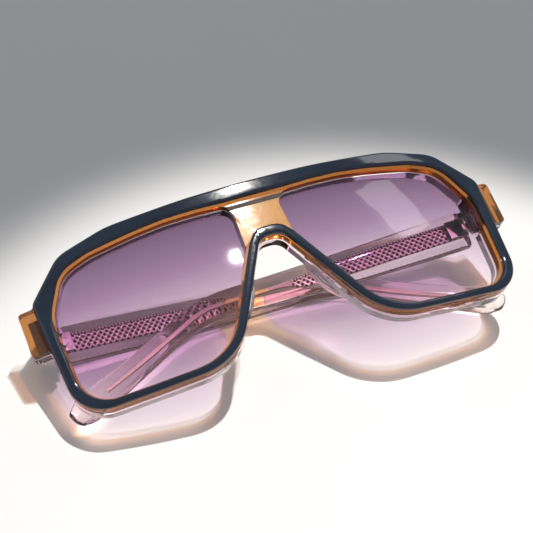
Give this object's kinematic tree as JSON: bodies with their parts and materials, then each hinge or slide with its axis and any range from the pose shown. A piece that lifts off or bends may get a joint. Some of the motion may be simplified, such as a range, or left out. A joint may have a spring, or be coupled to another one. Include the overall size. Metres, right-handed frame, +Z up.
{
  "type": "sunglasses",
  "caption": "Navigator-shaped sunglasses with a laminated navy, amber and clear acetate front, plum gradient lenses and clear temples with a knurled metal core, lying folded.",
  "frame": {"origin": "on the table, under the middle of the bounding box of the folded glasses", "axes": "+X across the front towards the right temple hinge, +Y towards the raised top bar, +Z up from the table"},
  "size_m": [0.1456, 0.053, 0.0382],
  "materials": {
    "navy_acetate": "polished navy cellulose acetate",
    "amber_acetate": "polished translucent amber acetate",
    "crystal_acetate": "polished clear acetate with a faint warm tint",
    "lens_tint": "polished plum plastic, fading paler towards the bottom",
    "hinge_steel": "satin hinge metal",
    "core_metal": "rose copper metal with a knurled face"
  },
  "bodies": {
    "front": {"front_navy_layer": "navy_acetate", "front_amber_layer": "amber_acetate", "front_crystal_layer": "crystal_acetate", "lens_right": "lens_tint", "nose_pad_right": "crystal_acetate", "hinge_front_right": "hinge_steel", "hinge_screw_right": "hinge_steel", "lens_left": "lens_tint", "nose_pad_left": "crystal_acetate", "hinge_front_left": "hinge_steel", "hinge_screw_left": "hinge_steel"},
    "temple_right": {"temple_arm_right": "crystal_acetate", "temple_core_right": "core_metal", "hinge_temple_right": "hinge_steel"},
    "temple_left": {"temple_arm_left": "crystal_acetate", "temple_core_left": "core_metal", "hinge_temple_left": "hinge_steel"}
  },
  "joints": [
    {"name": "temple_right_hinge", "type": "hinge", "parent": "front", "child": "temple_right", "pos_m": [0.06494, 0.00479, 0.01842], "axis": [0, -0.957, -0.29], "range_deg": [0, 86.6]},
    {"name": "temple_left_hinge", "type": "hinge", "parent": "front", "child": "temple_left", "pos_m": [-0.06449, 0.00669, 0.01214], "axis": [0, 0.957, 0.29], "range_deg": [0, 82.7]}
  ]
}
